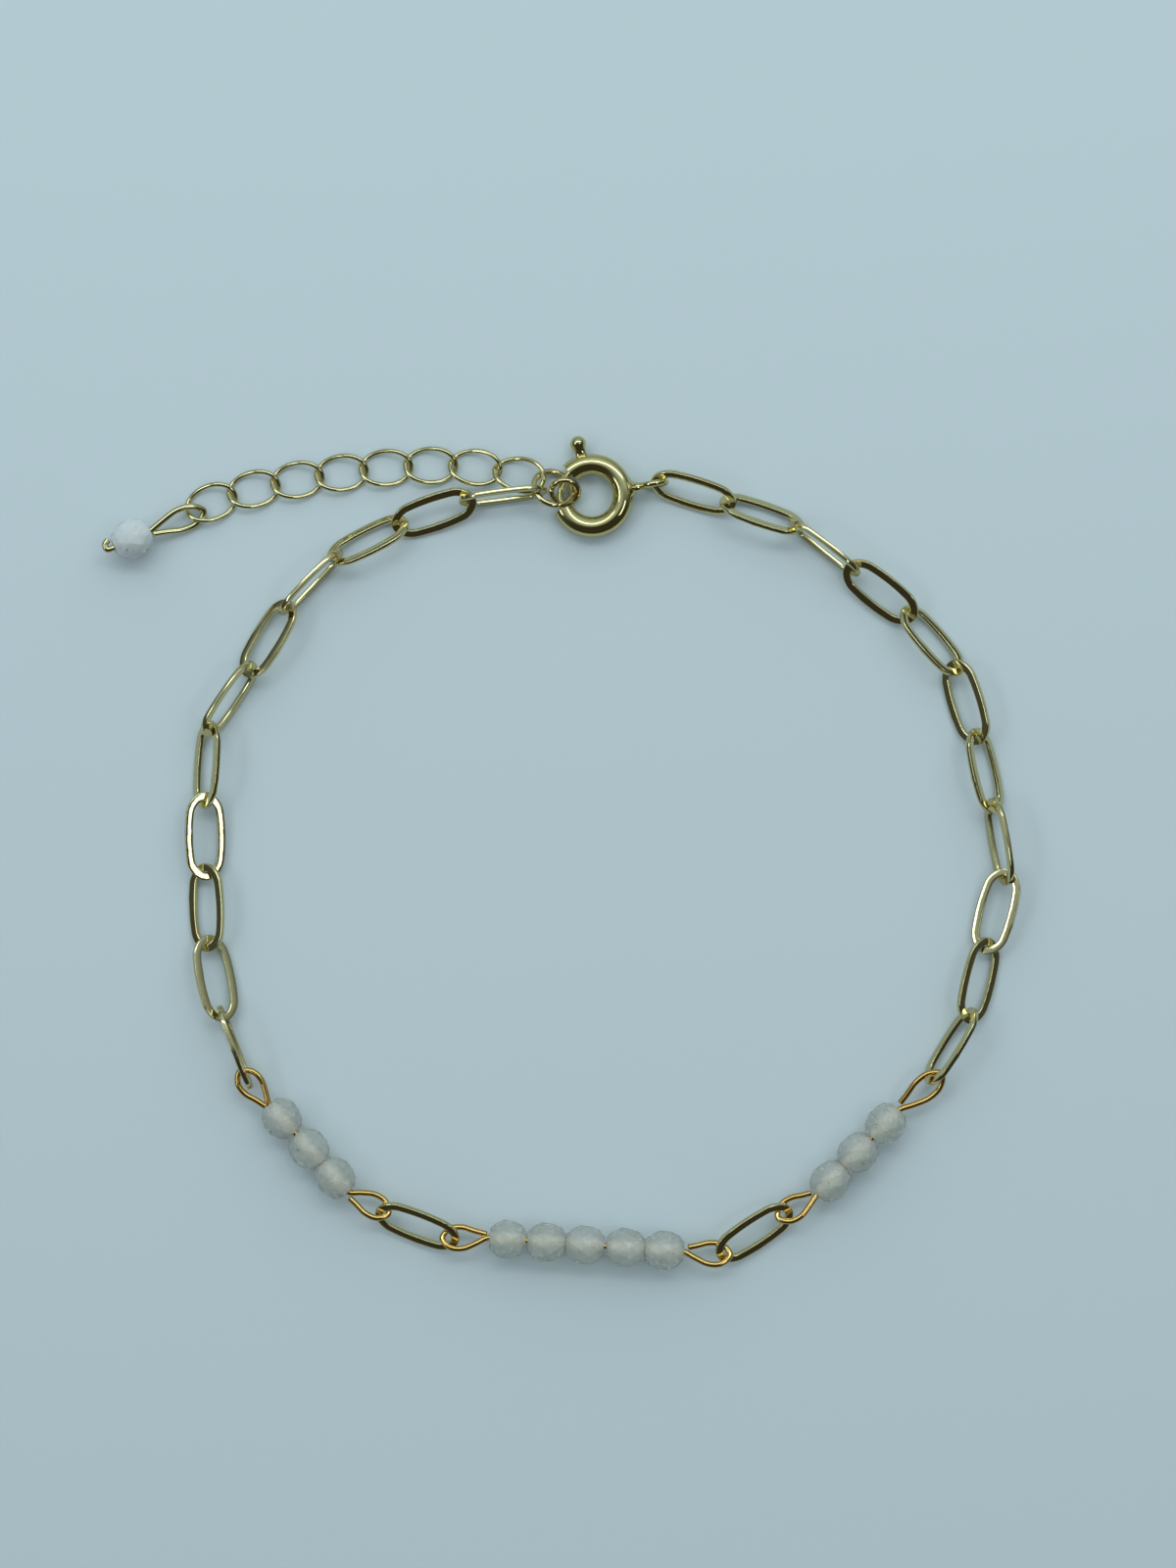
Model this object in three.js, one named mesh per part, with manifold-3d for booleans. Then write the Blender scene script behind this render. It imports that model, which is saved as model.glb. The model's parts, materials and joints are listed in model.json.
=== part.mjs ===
// A bracelet of paperclip links and three wired bars of faceted moonstone beads, closed by a
// spring-ring clasp, with an extender chain that ends in one more bead. It lies flat as one loop.
// Millimetres, +Z up, the surface it lies on at z = 0, the clasp at +Y.

import * as THREE from "three";
import { mergeVertices } from "three/addons/utils/BufferGeometryUtils.js";
import Module from "manifold-3d";

const wasm = await Module();
wasm.setup();

// Paperclip link: flattened wire bent to a long oval
const LINK_LENGTH = 6.66;
const LINK_WIDTH = 3.0;
const LINK_BAND = 0.56; // width of the flattened wire, measured in the link's own plane
const LINK_THICKNESS = 0.38;
const LINK_FLAT_SHARE = 0.6; // how much of the band is truly flat between its rounded edges
const LINK_PITCH = 5.35; // from one hooked end to the next

// Extender link: round wire, a twisted oval
const EXTENDER_LENGTH = 4.15;
const EXTENDER_WIDTH = 2.87;
const EXTENDER_WIRE = 0.32;
const EXTENDER_TWIST = 0.29; // how far the wire rises and falls from the link's middle plane
const EXTENDER_PITCH = 3.35;

// Faceted bead, drilled through
const BEAD_DIAMETER = 3.0;
const BEAD_LENGTH = 2.87;
const BEAD_SPACING = 2.94;
const BEAD_HOLE = 0.62;
const BEAD_SIDES = 10;

// Rings of facets along a bead, as shares of its radius and half length
const BEAD_RINGS = [
  { radius: 0.5, along: 1 },
  { radius: 0.86, along: 0.66 },
  { radius: 1, along: 0.26 },
];

// Wire through the beads, an eye bent at its ends
const PIN_WIRE = 0.42;
const PIN_STRAIGHT_INSET = 0.6; // how far inside the outer beads' faces the wire is dead straight
const EYE_STEPS = 17; // sections of wire in one eye
const END_PIN_WIRE = 0.46;
const END_PIN_STEPS = 36;
const END_PIN_STRAIGHT_INSET = 0.3;
const END_EYE_START = 0.1; // beyond the bead's face
const EYE_WIDTH = 2.15;

// The teardrop of an eye, as shares of its reach and half width, out from the bead and back
const EYE_SHAPE = [
  { along: 0.26, aside: 0.5 },
  { along: 0.55, aside: 0.95 },
  { along: 0.82, aside: 0.83 },
  { along: 1, aside: 0 },
  { along: 0.82, aside: -0.83 },
  { along: 0.55, aside: -0.95 },
  { along: 0.28, aside: -0.62 },
  { along: 0.1, aside: -0.42 },
];

// The end wire's tail, bent over behind its bead: out from the bead's face and aside
const TAIL_SHAPE = [
  { out: 0.3, aside: 0.75 },
  { out: 0.75, aside: 0.5 },
  { out: 0.75, aside: 0.08 },
  { out: 0.25, aside: 0 },
];

// Spring-ring clasp
const CLASP_DIAMETER = 6.25;
const CLASP_TUBE = 1.55;
const CLASP_WALL = 0.2;
const CLASP_MOUTH_FROM = 134; // angles about the clasp's middle, in degrees from +X
const CLASP_MOUTH_TO = 206;
const CLASP_SLOT_FROM = 26;
const CLASP_SLOT_TO = 116;
const CLASP_SLOT_WIDTH = 0.6;
const CLASP_LOOP_DIAMETER = 2.3;
const CLASP_LOOP_WIRE = 0.5;
const CLASP_LOOP_REACH = 5.85; // from the clasp's middle to the loop's far side
const CLASP_LOOP_ANGLE = 10;
const CLASP_TILT = 3.2; // the clasp leans on its standing loop
const SOLDER_DIAMETER = 0.84; // of the solder fillet, where it meets the tube
const SOLDER_TIP_DIAMETER = 0.48;
const SOLDER_LENGTH = 0.6;
const SOLDER_SINK = 0.08; // how far the fillet starts inside the tube's outside
const SLOT_OVERRUN = 0.3; // how far the slot's cutter stands out past the tube
const BOLT_WIRE = 0.5;
const BOLT_TIP = 209;
const BOLT_TAIL = 95;
const KNOB_ANGLE = 105;
const KNOB_DIAMETER = 1.05;
const KNOB_NECK = 0.86; // width of the flat neck, along the slot
const KNOB_NECK_THICKNESS = 0.4;
const KNOB_REACH = 4; // from the clasp's middle to the knob's

// Jump rings on the bolt
const LARGE_RING_DIAMETER = 3.35;
const LARGE_RING_WIRE = 0.42;
const SMALL_RING_DIAMETER = 2.5;
const SMALL_RING_WIRE = 0.45;

// Where things lie, from the middle of the loop
const CLASP_AT = new THREE.Vector2(2.13, 26.73);
const LARGE_RING_AT = new THREE.Vector3(-0.77, 27.25, 1.02);
const SMALL_RING_AT = new THREE.Vector3(0.1, 27.0, 0.86);
const LEFT_CHAIN_START = new THREE.Vector2(-1.84, 27.0);
const RIGHT_CHAIN_START = new THREE.Vector2(7.18, 27.7);
const EXTENDER_START = new THREE.Vector2(-1.68, 27.92);
const END_BEAD_AT = new THREE.Vector2(-32.2, 23.42);
const END_BEAD_HEADING = 26;
const END_BEAD_DIP = 10.5; // its eye hangs down to the last link
const END_BEAD_LIFT = 0.05;

const DEG = Math.PI / 180;

const paleGold = new THREE.MeshStandardMaterial({ color: 0xc9bd7c, roughness: 0.22, metalness: 1 });
const warmGold = new THREE.MeshStandardMaterial({ color: 0xb8873a, roughness: 0.25, metalness: 1 });
const moonstone = new THREE.MeshStandardMaterial({ color: 0xa8b6b8, roughness: 0.2, metalness: 0 });
const whiteMoonstone = new THREE.MeshStandardMaterial({ color: 0xc3d0dc, roughness: 0.25, metalness: 0 });

const bracelet = new THREE.Group();
bracelet.name = "bracelet";

// A regular section of a round wire, as points outward and upward from its centre line.
function roundSection(diameter, sides) {
  return Array.from({ length: sides }, (_, i) => {
    const angle = (i / sides) * 2 * Math.PI;
    return new THREE.Vector2(Math.cos(angle), Math.sin(angle)).multiplyScalar(diameter / 2);
  });
}

// The flattened wire of a paperclip link: six sides, flat above and below.
function flatSection(band, thickness) {
  const flat = (band * LINK_FLAT_SHARE) / 2;
  const half = thickness / 2;
  return [
    new THREE.Vector2(band / 2, 0),
    new THREE.Vector2(flat, half),
    new THREE.Vector2(-flat, half),
    new THREE.Vector2(-band / 2, 0),
    new THREE.Vector2(-flat, -half),
    new THREE.Vector2(flat, -half),
  ];
}

// A closed loop of wire: the section carried round a closed line that never stands upright.
function wireLoop(line, section) {
  const positions = [];
  const faces = [];
  const count = line.length;
  const sides = section.length;
  line.forEach((point, i) => {
    const before = point.clone().sub(line[(i + count - 1) % count]).normalize();
    const after = line[(i + 1) % count].clone().sub(point).normalize();
    const along = before.add(after).normalize();
    const up = new THREE.Vector3(0, 0, 1).addScaledVector(along, -along.z).normalize();
    const outward = along.clone().cross(up);
    section.forEach((corner) => {
      const at = point.clone().addScaledVector(outward, corner.x).addScaledVector(up, corner.y);
      positions.push(at.x, at.y, at.z);
    });
    for (let side = 0; side < sides; side += 1) {
      const a = i * sides + side;
      const b = i * sides + ((side + 1) % sides);
      const c = ((i + 1) % count) * sides + ((side + 1) % sides);
      const d = ((i + 1) % count) * sides + side;
      faces.push(a, c, b, a, d, c);
    }
  });
  const geometry = new THREE.BufferGeometry();
  geometry.setAttribute("position", new THREE.Float32BufferAttribute(positions, 3));
  geometry.setIndex(faces);
  geometry.computeVertexNormals();
  return geometry;
}

// The centre line of a paperclip link: straight sides and round ends, anticlockwise.
function paperclipLine() {
  const endRadius = (LINK_WIDTH - LINK_BAND) / 2;
  const halfStraight = (LINK_LENGTH - LINK_BAND) / 2 - endRadius;
  const arcSteps = 7;
  const line = [];
  for (const end of [1, -1]) {
    for (let step = 0; step <= arcSteps; step += 1) {
      const angle = -Math.PI / 2 + (step / arcSteps) * Math.PI;
      const x = halfStraight + endRadius * Math.cos(angle);
      const y = endRadius * Math.sin(angle);
      line.push(new THREE.Vector3(end * x, end * y, 0));
    }
  }
  return line;
}

// The centre line of an extender link: an oval that rises and falls twice as it goes round.
function twistedOvalLine() {
  const halfLength = (EXTENDER_LENGTH - EXTENDER_WIRE) / 2;
  const halfWidth = (EXTENDER_WIDTH - EXTENDER_WIRE) / 2;
  const steps = 16;
  return Array.from({ length: steps }, (_, i) => {
    const t = (i / steps) * 2 * Math.PI;
    return new THREE.Vector3(
      halfLength * Math.cos(t),
      halfWidth * Math.sin(t),
      EXTENDER_TWIST * Math.sin(2 * t),
    );
  });
}

function circleLine(radius, steps) {
  return Array.from({ length: steps }, (_, i) => {
    const t = (i / steps) * 2 * Math.PI;
    return new THREE.Vector3(radius * Math.cos(t), radius * Math.sin(t), 0);
  });
}

// A wire with two cut ends, along a smooth line.
function openWire(points, diameter, sides, steps) {
  const shape = new THREE.Shape(roundSection(diameter, sides));
  const extrudePath = new THREE.CatmullRomCurve3(points, false, "centripetal");
  return new THREE.ExtrudeGeometry(shape, { extrudePath, steps });
}

function namedMesh(name, geometry, material) {
  const mesh = new THREE.Mesh(geometry, material);
  mesh.name = name;
  return mesh;
}

// Turns a link by its heading, nose-up pitch and roll, and sets it down on the surface.
function layLink(mesh, middle, row, lift) {
  mesh.rotation.set(row.roll * DEG, -(row.pitch ?? 0) * DEG, row.heading * DEG, "ZYX");
  mesh.position.set(middle.x, middle.y, 0);
  mesh.updateMatrixWorld(true);
  const lowest = new THREE.Box3().setFromObject(mesh, true).min.z;
  mesh.position.z = lift - lowest;
  bracelet.add(mesh);
}

// A chain laid link by link from its start; a row for each link.
function layChain(prefix, rows, start, pitch, geometry) {
  const hook = start.clone();
  rows.forEach((row, i) => {
    const step = new THREE.Vector2(Math.cos(row.heading * DEG), Math.sin(row.heading * DEG));
    const middle = hook.clone().addScaledVector(step, pitch / 2);
    const mesh = namedMesh(prefix + String(i + 1).padStart(2, "0"), geometry, paleGold);
    layLink(mesh, middle, row, row.lift ?? 0);
    hook.addScaledVector(step, pitch);
  });
}

const paperclip = wireLoop(paperclipLine(), flatSection(LINK_BAND, LINK_THICKNESS));
const twistedOval = wireLoop(twistedOvalLine(), roundSection(EXTENDER_WIRE, 5));

// Paperclip chains, away from the clasp; roll is positive where the link's left side is up
const LEFT_CHAIN = [
  { heading: 187.5, roll: -78 },
  { heading: 199, roll: -33, pitch: -5 },
  { heading: 207, roll: 44, pitch: 3 },
  { heading: 226, roll: -78 },
  { heading: 239, roll: 35, lift: 0.2 },
  { heading: 236, roll: -64 },
  { heading: 266, roll: 51 },
  { heading: 270.5, roll: -18, pitch: -4, lift: 0.26 },
  { heading: 272, roll: 30 },
  { heading: 282, roll: -30, pitch: 4 },
  { heading: 291, roll: 90 },
];
const RIGHT_CHAIN = [
  { heading: -17, roll: 45, lift: 0.08 },
  { heading: -18.5, roll: -51 },
  { heading: -38, roll: 80 },
  { heading: -38, roll: 30, pitch: -4, lift: 0.15 },
  { heading: -49, roll: -42 },
  { heading: -73, roll: 36 },
  { heading: -77, roll: -45 },
  { heading: -80, roll: 69 },
  { heading: -104.5, roll: 21, pitch: -5, lift: 0.2 },
  { heading: -104, roll: -33, pitch: 3 },
  { heading: -122, roll: 67 },
];
layChain("left_link_", LEFT_CHAIN, LEFT_CHAIN_START, LINK_PITCH, paperclip);
layChain("right_link_", RIGHT_CHAIN, RIGHT_CHAIN_START, LINK_PITCH, paperclip);

// The two paperclip links between the bars of beads, held up by the eyes
const FRONT_LINKS = [
  { name: "front_left_link", x: -10.9, y: -27.87, heading: -21, roll: 36, lift: 0.3 },
  { name: "front_right_link", x: 14.25, y: -28.35, heading: 33.5, roll: 33, lift: 0.38 },
];
FRONT_LINKS.forEach((row) => {
  const mesh = namedMesh(row.name, paperclip, paleGold);
  layLink(mesh, new THREE.Vector2(row.x, row.y), row, row.lift);
});

// Extender chain, away from the clasp
const EXTENDER = [
  { heading: 167, roll: 14, pitch: -8, lift: 0.04 },
  { heading: 174, roll: 5, pitch: -2 },
  { heading: 181, roll: 0 },
  { heading: 185, roll: 0 },
  { heading: 188, roll: 0 },
  { heading: 190, roll: 0 },
  { heading: 194, roll: 0 },
  { heading: 201, roll: 0 },
];
layChain("extender_link_", EXTENDER, EXTENDER_START, EXTENDER_PITCH, twistedOval);

// A faceted bead lying along X, drilled through, one flat facet straight down.
function beadGeometry() {
  const radius = BEAD_DIAMETER / 2;
  const half = BEAD_LENGTH / 2;
  const rise = BEAD_RINGS.map((ring) => new THREE.Vector2(radius * ring.radius, -half * ring.along));
  const fall = BEAD_RINGS.map((ring) => new THREE.Vector2(radius * ring.radius, half * ring.along));
  const drilled = [new THREE.Vector2(BEAD_HOLE / 2, -half), new THREE.Vector2(BEAD_HOLE / 2, half)];
  const profile = [drilled[0], ...rise, ...fall.reverse(), drilled[1], drilled[0].clone()];
  const halfFacet = Math.PI / BEAD_SIDES;
  const lathe = new THREE.LatheGeometry(profile, BEAD_SIDES, halfFacet);
  return lathe.rotateZ(-Math.PI / 2);
}

const bead = beadGeometry();
const BEAD_AXIS_HEIGHT = (BEAD_DIAMETER / 2) * Math.cos(Math.PI / BEAD_SIDES);

// The line of an eye, from the bead outwards along +X, round, and back to its free end
function eyeLine(length, wire) {
  const reach = length - wire / 2;
  const halfWidth = (EYE_WIDTH - wire) / 2;
  return EYE_SHAPE.map((row) => new THREE.Vector2(reach * row.along, halfWidth * row.aside));
}

// Places an eye's line at an end of a bar: direction is 1 or -1 along X, roll turns the eye about its
// own axis, bend turns that axis about Z, flip puts the free end on the other side.
function eyePoints(wire, end, direction, eye) {
  return eyeLine(eye.length, wire).map((point) => {
    const at = new THREE.Vector3(point.x, point.y * eye.flip, 0);
    at.applyEuler(new THREE.Euler(eye.roll * DEG, 0, eye.bend * DEG, "ZYX"));
    at.x += end;
    return at.applyAxisAngle(new THREE.Vector3(0, 0, 1), direction > 0 ? 0 : Math.PI);
  });
}

// A bar: a wire through a row of beads, an eye at both ends
function barOfBeads(row) {
  const bar = new THREE.Group();
  for (let i = 0; i < row.beads; i += 1) {
    const mesh = namedMesh(row.name + "_bead_" + (i + 1), bead, moonstone);
    mesh.position.x = (i - (row.beads - 1) / 2) * BEAD_SPACING;
    bar.add(mesh);
  }
  const end = (row.beads * BEAD_SPACING) / 2;
  const first = eyePoints(PIN_WIRE, end, -1, row.first);
  const last = eyePoints(PIN_WIRE, end, 1, row.last);
  const inside = end - PIN_STRAIGHT_INSET;
  const straight = [-end, -inside, inside, end].map((x) => new THREE.Vector3(x, 0, 0));
  const line = [...first.reverse(), ...straight, ...last];
  const steps = 2 * EYE_STEPS + 2 * row.beads;
  bar.add(namedMesh(row.name + "_pin", openWire(line, PIN_WIRE, 6, steps), warmGold));
  bar.position.set(row.x, row.y, BEAD_AXIS_HEIGHT);
  bar.rotation.z = row.heading * DEG;
  bracelet.add(bar);
}

const BARS = [
  {
    name: "left", beads: 3, x: -19.02, y: -22.04, heading: -48,
    first: { length: 3.5, bend: 0, roll: 0, flip: -1 },
    last: { length: 3.65, bend: 20, roll: -20, flip: 1 },
  },
  {
    name: "front", beads: 5, x: 1.66, y: -29.25, heading: -4,
    first: { length: 3.6, bend: 4, roll: 20, flip: 1 },
    last: { length: 3.7, bend: 0, roll: -20, flip: -1 },
  },
  {
    name: "right", beads: 3, x: 22.0, y: -22.35, heading: 46,
    first: { length: 3.6, bend: -16, roll: 22, flip: 1 },
    last: { length: 4.4, bend: -6, roll: 10, flip: -1 },
  },
];
BARS.forEach(barOfBeads);

const END_EYE = { length: 4.5, bend: -5, roll: 26, flip: 1 };

// The end bead on its own wire, an eye towards the chain and the tail bent over behind the bead
function endBead() {
  const end = new THREE.Group();
  end.add(namedMesh("end_bead", bead, whiteMoonstone));
  const half = BEAD_LENGTH / 2;
  const tail = TAIL_SHAPE.map((row) => new THREE.Vector3(-half - row.out, row.aside, 0));
  const inside = half - END_PIN_STRAIGHT_INSET;
  const eyeStart = half + END_EYE_START;
  const straight = [-inside, inside, eyeStart].map((x) => new THREE.Vector3(x, 0, 0));
  const line = [...tail, ...straight, ...eyePoints(END_PIN_WIRE, eyeStart, 1, END_EYE)];
  end.add(namedMesh("end_pin", openWire(line, END_PIN_WIRE, 6, END_PIN_STEPS), paleGold));
  end.position.set(END_BEAD_AT.x, END_BEAD_AT.y, BEAD_AXIS_HEIGHT + END_BEAD_LIFT);
  end.rotation.set(0, END_BEAD_DIP * DEG, END_BEAD_HEADING * DEG, "ZYX");
  bracelet.add(end);
}
endBead();

// Solids for joining and cutting
function solidOf(geometry) {
  const plain = geometry.clone();
  plain.deleteAttribute("normal");
  plain.deleteAttribute("uv");
  const merged = mergeVertices(plain, 1e-4);
  return new wasm.Manifold(
    new wasm.Mesh({
      numProp: 3,
      vertProperties: new Float32Array(merged.attributes.position.array),
      triVerts: new Uint32Array(merged.index.array),
    }),
  );
}

function geometryOf(solid) {
  const mesh = solid.getMesh();
  const geometry = new THREE.BufferGeometry();
  geometry.setAttribute("position", new THREE.BufferAttribute(mesh.vertProperties, 3));
  geometry.setIndex(new THREE.BufferAttribute(mesh.triVerts, 1));
  geometry.computeVertexNormals();
  return geometry;
}

const CLASP_RADIUS = (CLASP_DIAMETER - CLASP_TUBE) / 2;

// An arc about the clasp's middle, anticlockwise between two angles.
class ClaspArc extends THREE.Curve {
  constructor(from, to) {
    super();
    this.from = from * DEG;
    this.to = to * DEG;
  }
  getPoint(t, target = new THREE.Vector3()) {
    const angle = this.from + (this.to - this.from) * t;
    return target.set(CLASP_RADIUS * Math.cos(angle), CLASP_RADIUS * Math.sin(angle), 0);
  }
}

// The clasp's body: a hollow tube open at its mouth, slotted for the knob, with its soldered loop
function springRing() {
  const wall = new THREE.Shape(roundSection(CLASP_TUBE, 12));
  wall.holes.push(new THREE.Path(roundSection(CLASP_TUBE - 2 * CLASP_WALL, 12)));
  const tube = new THREE.ExtrudeGeometry(wall, {
    extrudePath: new ClaspArc(CLASP_MOUTH_TO - 360, CLASP_MOUTH_FROM),
    steps: 24,
  });
  const outer = CLASP_DIAMETER / 2;
  const slotShape = new THREE.Shape();
  slotShape.absarc(0, 0, outer + SLOT_OVERRUN, CLASP_SLOT_FROM * DEG, CLASP_SLOT_TO * DEG, false);
  slotShape.absarc(0, 0, CLASP_RADIUS, CLASP_SLOT_TO * DEG, CLASP_SLOT_FROM * DEG, true);
  const slot = new THREE.ExtrudeGeometry(slotShape, {
    depth: CLASP_SLOT_WIDTH,
    curveSegments: 10,
    bevelEnabled: false,
  });
  slot.translate(0, 0, -CLASP_SLOT_WIDTH / 2);
  const loopLine = circleLine((CLASP_LOOP_DIAMETER - CLASP_LOOP_WIRE) / 2, 14);
  const loop = wireLoop(loopLine, roundSection(CLASP_LOOP_WIRE, 6));
  loop.rotateX(Math.PI / 2);
  loop.translate(CLASP_LOOP_REACH - CLASP_LOOP_DIAMETER / 2, 0, 0);
  const solder = new THREE.CylinderGeometry(
    SOLDER_TIP_DIAMETER / 2,
    SOLDER_DIAMETER / 2,
    SOLDER_LENGTH,
    8,
  );
  solder.rotateZ(-Math.PI / 2);
  solder.translate(outer - SOLDER_SINK + SOLDER_LENGTH / 2, 0, 0);
  loop.rotateZ(CLASP_LOOP_ANGLE * DEG);
  solder.rotateZ(CLASP_LOOP_ANGLE * DEG);
  const body = solidOf(tube).subtract(solidOf(slot)).add(solidOf(loop)).add(solidOf(solder));
  return geometryOf(body);
}

// The bolt: a bent wire that slides in the tube, its knob standing out on a flat neck through the slot
function bolt() {
  const section = new THREE.Shape(roundSection(BOLT_WIRE, 8));
  const wire = new THREE.ExtrudeGeometry(section, {
    extrudePath: new ClaspArc(BOLT_TAIL, BOLT_TIP),
    steps: 10,
  });
  const neckLength = KNOB_REACH - CLASP_RADIUS;
  const neck = new THREE.CylinderGeometry(KNOB_NECK / 2, KNOB_NECK / 2, neckLength, 8);
  neck.rotateZ(-Math.PI / 2);
  neck.scale(1, 1, KNOB_NECK_THICKNESS / KNOB_NECK);
  neck.translate(CLASP_RADIUS + neckLength / 2, 0, 0);
  const knob = new THREE.SphereGeometry(KNOB_DIAMETER / 2, 10, 8);
  knob.translate(KNOB_REACH, 0, 0);
  neck.rotateZ(KNOB_ANGLE * DEG);
  knob.rotateZ(KNOB_ANGLE * DEG);
  return geometryOf(solidOf(wire).add(solidOf(neck)).add(solidOf(knob)));
}

// The clasp leans: its tube rests on the side of the mouth, its loop stands on the surface
const clasp = new THREE.Group();
clasp.add(namedMesh("spring_ring", springRing(), paleGold));
clasp.add(namedMesh("clasp_bolt", bolt(), paleGold));
clasp.rotation.set(0, -CLASP_TILT * DEG, CLASP_LOOP_ANGLE * DEG, "ZYX");
clasp.children.forEach((mesh) => mesh.geometry.rotateZ(-CLASP_LOOP_ANGLE * DEG));
clasp.position.set(
  CLASP_AT.x,
  CLASP_AT.y,
  CLASP_TUBE / 2 + CLASP_RADIUS * Math.sin(CLASP_TILT * DEG),
);
bracelet.add(clasp);

// Two jump rings on the bolt, each leaning its own way
function jumpRing(name, diameter, wire, at, axis) {
  const line = circleLine((diameter - wire) / 2, 16);
  const mesh = namedMesh(name, wireLoop(line, roundSection(wire, 6)), paleGold);
  mesh.position.copy(at);
  mesh.quaternion.setFromUnitVectors(new THREE.Vector3(0, 0, 1), axis.clone().normalize());
  bracelet.add(mesh);
}
jumpRing(
  "jump_ring_large",
  LARGE_RING_DIAMETER,
  LARGE_RING_WIRE,
  LARGE_RING_AT,
  new THREE.Vector3(0.35, 0.54, 1),
);
jumpRing(
  "jump_ring_small",
  SMALL_RING_DIAMETER,
  SMALL_RING_WIRE,
  SMALL_RING_AT,
  new THREE.Vector3(0, -0.78, 1),
);

// The origin goes to the middle of the loop's box, on the surface
bracelet.updateMatrixWorld(true);
const box = new THREE.Box3().setFromObject(bracelet, true);
const middle = box.getCenter(new THREE.Vector3());
bracelet.children.forEach((child) => {
  child.position.sub(new THREE.Vector3(middle.x, middle.y, box.min.z));
});
bracelet.updateMatrixWorld(true);

export default bracelet;
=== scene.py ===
# A moonstone bracelet that lies as one closed loop, seen from straight above.
# Everything is in metres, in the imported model's own frame: +Y towards the clasp, +Z up.
import json
import math
import random

import bmesh
import bpy
import numpy as np
from mathutils import Matrix, Vector


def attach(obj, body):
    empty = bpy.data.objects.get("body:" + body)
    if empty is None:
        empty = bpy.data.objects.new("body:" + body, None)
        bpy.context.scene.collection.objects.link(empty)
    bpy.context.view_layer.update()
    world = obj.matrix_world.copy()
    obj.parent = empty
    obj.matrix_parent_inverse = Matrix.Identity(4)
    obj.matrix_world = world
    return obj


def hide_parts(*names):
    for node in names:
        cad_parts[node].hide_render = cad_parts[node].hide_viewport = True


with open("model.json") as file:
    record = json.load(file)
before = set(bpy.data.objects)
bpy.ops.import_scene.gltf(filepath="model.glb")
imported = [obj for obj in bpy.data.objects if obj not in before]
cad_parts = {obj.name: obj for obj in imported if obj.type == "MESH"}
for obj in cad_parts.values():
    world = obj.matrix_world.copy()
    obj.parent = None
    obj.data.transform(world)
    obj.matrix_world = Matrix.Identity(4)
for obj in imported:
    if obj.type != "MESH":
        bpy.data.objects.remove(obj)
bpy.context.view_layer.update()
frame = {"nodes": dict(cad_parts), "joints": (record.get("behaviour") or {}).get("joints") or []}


# Paperclip links, down both sides and between the bars of beads.
# Each is flattened brass wire bent to a long oval, soldered shut on one straight side,
# then plated pale gold and tumbled bright.

MM = 0.001
LINK_LENGTH = 6.66 * MM
LINK_WIDTH = 3.08 * MM
LINK_BAND = 0.6 * MM
LINK_THICKNESS = 0.38 * MM
LINK_SQUARENESS = 6  # 2 is an oval section, and more is a flatter one
LINK_BOW = 0.26  # how far the line draws in towards the link's ends, as a share of its width
LINK_SECTION_POINTS = 24
LINK_END_STEPS = 20
LINK_SIDE_STEPS = 10
SOLDER_SWELL = 0.07
SOLDER_REACH = 0.22 * MM
ROLLING_SWELL = 0.025
SHARP_ANGLE = 40
HAIRLINE_DEPTH = 0.07
RIPPLE_DEPTH = 0.03 * MM

PALE_GOLD = (0.91, 0.83, 0.46, 1)
PALE_GOLD_WORN = (0.86, 0.69, 0.31, 1)


def add_node(tree, kind, inputs=None, **settings):
    """A shader node with its settings; an input is a value or the output of another node."""
    made = tree.nodes.new(kind)
    for name, value in settings.items():
        setattr(made, name, value)
    for name, value in (inputs or {}).items():
        if isinstance(value, bpy.types.NodeSocket):
            tree.links.new(value, made.inputs[name])
        else:
            made.inputs[name].default_value = value
    return made


def plating_group():
    """Plating on polished wire: thin worn patches, hairline polishing marks and a faint ripple."""
    group = bpy.data.node_groups.new("plating", "ShaderNodeTree")
    sockets = group.interface
    for name, kind in (("Plating", "Color"), ("Worn", "Color"), ("Ripple", "Float"), ("Gloss", "Float")):
        sockets.new_socket(name, in_out="INPUT", socket_type="NodeSocket" + kind)
    for name, kind in (("Color", "Color"), ("Roughness", "Float"), ("Normal", "Vector")):
        sockets.new_socket(name, in_out="OUTPUT", socket_type="NodeSocket" + kind)
    start = group.nodes.new("NodeGroupInput").outputs
    place = add_node(group, "ShaderNodeTexCoord").outputs["Object"]
    patches = add_node(group, "ShaderNodeTexNoise", {"Vector": place, "Scale": 420.0, "Detail": 3.0})
    worn = add_node(
        group,
        "ShaderNodeMapRange",
        {"Value": patches.outputs["Fac"], "From Min": 0.46, "From Max": 0.74, "To Max": 0.8},
    )
    colour = add_node(
        group,
        "ShaderNodeMix",
        {"Factor": worn.outputs["Result"], "A": start["Plating"], "B": start["Worn"]},
        data_type="RGBA",
    )
    hairlines = add_node(
        group,
        "ShaderNodeTexNoise",
        {"Vector": place, "Scale": 9000.0, "Detail": 2.0, "Distortion": 1.4},
    )
    gloss = add_node(
        group,
        "ShaderNodeMath",
        {0: hairlines.outputs["Fac"], 1: HAIRLINE_DEPTH, 2: start["Gloss"]},
        operation="MULTIPLY_ADD",
    )
    ripple = add_node(group, "ShaderNodeTexNoise", {"Vector": place, "Scale": 1000.0, "Detail": 2.5})
    surface = add_node(
        group,
        "ShaderNodeBump",
        {"Strength": start["Ripple"], "Distance": RIPPLE_DEPTH, "Height": ripple.outputs["Fac"]},
    )
    end = group.nodes.new("NodeGroupOutput").inputs
    group.links.new(colour.outputs["Result"], end["Color"])
    group.links.new(gloss.outputs["Value"], end["Roughness"])
    group.links.new(surface.outputs["Normal"], end["Normal"])
    return group


plating = plating_group()


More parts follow.
